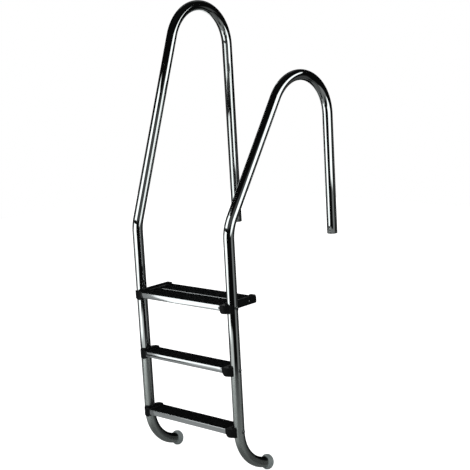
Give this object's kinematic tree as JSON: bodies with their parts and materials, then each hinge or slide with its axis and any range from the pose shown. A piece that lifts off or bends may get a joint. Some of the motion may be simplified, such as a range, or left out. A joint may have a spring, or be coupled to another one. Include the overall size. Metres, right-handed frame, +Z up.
{
  "type": "pool ladder",
  "caption": "Pool ladder with two bent stainless handrails of unequal height, flat non-slip treads with a double-depth top step, and rubber wall pads.",
  "frame": {"origin": "midway between the two water-side leg axes, on the rib tops of the lowest tread", "axes": "+X from the left rail to the right rail as seen from the water, +Y from the water towards the deck, +Z up along the water-side legs"},
  "size_m": [0.5758, 0.6841, 1.88],
  "materials": {
    "rail_steel": "mirror-polished stainless steel tube, satin below the water line",
    "tread_steel": "polished stainless sheet with fine lengthwise brushing",
    "fastener_steel": "stainless, bright",
    "grip_plastic": "ribbed black anti-slip plastic",
    "black_plastic": "moulded black, fine grain",
    "pad_rubber": "grey, slightly translucent"
  },
  "bodies": {
    "root": {"bolt_lower_left": "fastener_steel", "bolt_lower_right": "fastener_steel", "bolt_middle_left": "fastener_steel", "bolt_middle_right": "fastener_steel", "bolt_upper_left": "fastener_steel", "bolt_upper_right": "fastener_steel", "end_cap_lower_left": "black_plastic", "end_cap_lower_right": "black_plastic", "end_cap_middle_left": "black_plastic", "end_cap_middle_right": "black_plastic", "grip_lower": "grip_plastic", "grip_middle": "grip_plastic", "grip_upper_front": "grip_plastic", "grip_upper_rear": "grip_plastic", "nut_lower_left": "fastener_steel", "nut_lower_right": "fastener_steel", "nut_middle_left": "fastener_steel", "nut_middle_right": "fastener_steel", "nut_upper_left": "fastener_steel", "nut_upper_right": "fastener_steel", "rail_left_tall": "rail_steel", "rail_right_short": "rail_steel", "rear_nut_left": "fastener_steel", "rear_nut_right": "fastener_steel", "rear_screw_left": "fastener_steel", "rear_screw_right": "fastener_steel", "saddle_washer_lower_left": "fastener_steel", "saddle_washer_lower_right": "fastener_steel", "saddle_washer_middle_left": "fastener_steel", "saddle_washer_middle_right": "fastener_steel", "saddle_washer_upper_left": "fastener_steel", "saddle_washer_upper_right": "fastener_steel", "side_bracket_upper_left": "black_plastic", "side_bracket_upper_right": "black_plastic", "tread_lower": "tread_steel", "tread_middle": "tread_steel", "tread_upper_front": "tread_steel", "tread_upper_rear": "tread_steel", "wall_pad_left": "pad_rubber", "wall_pad_right": "pad_rubber"}
  },
  "joints": []
}
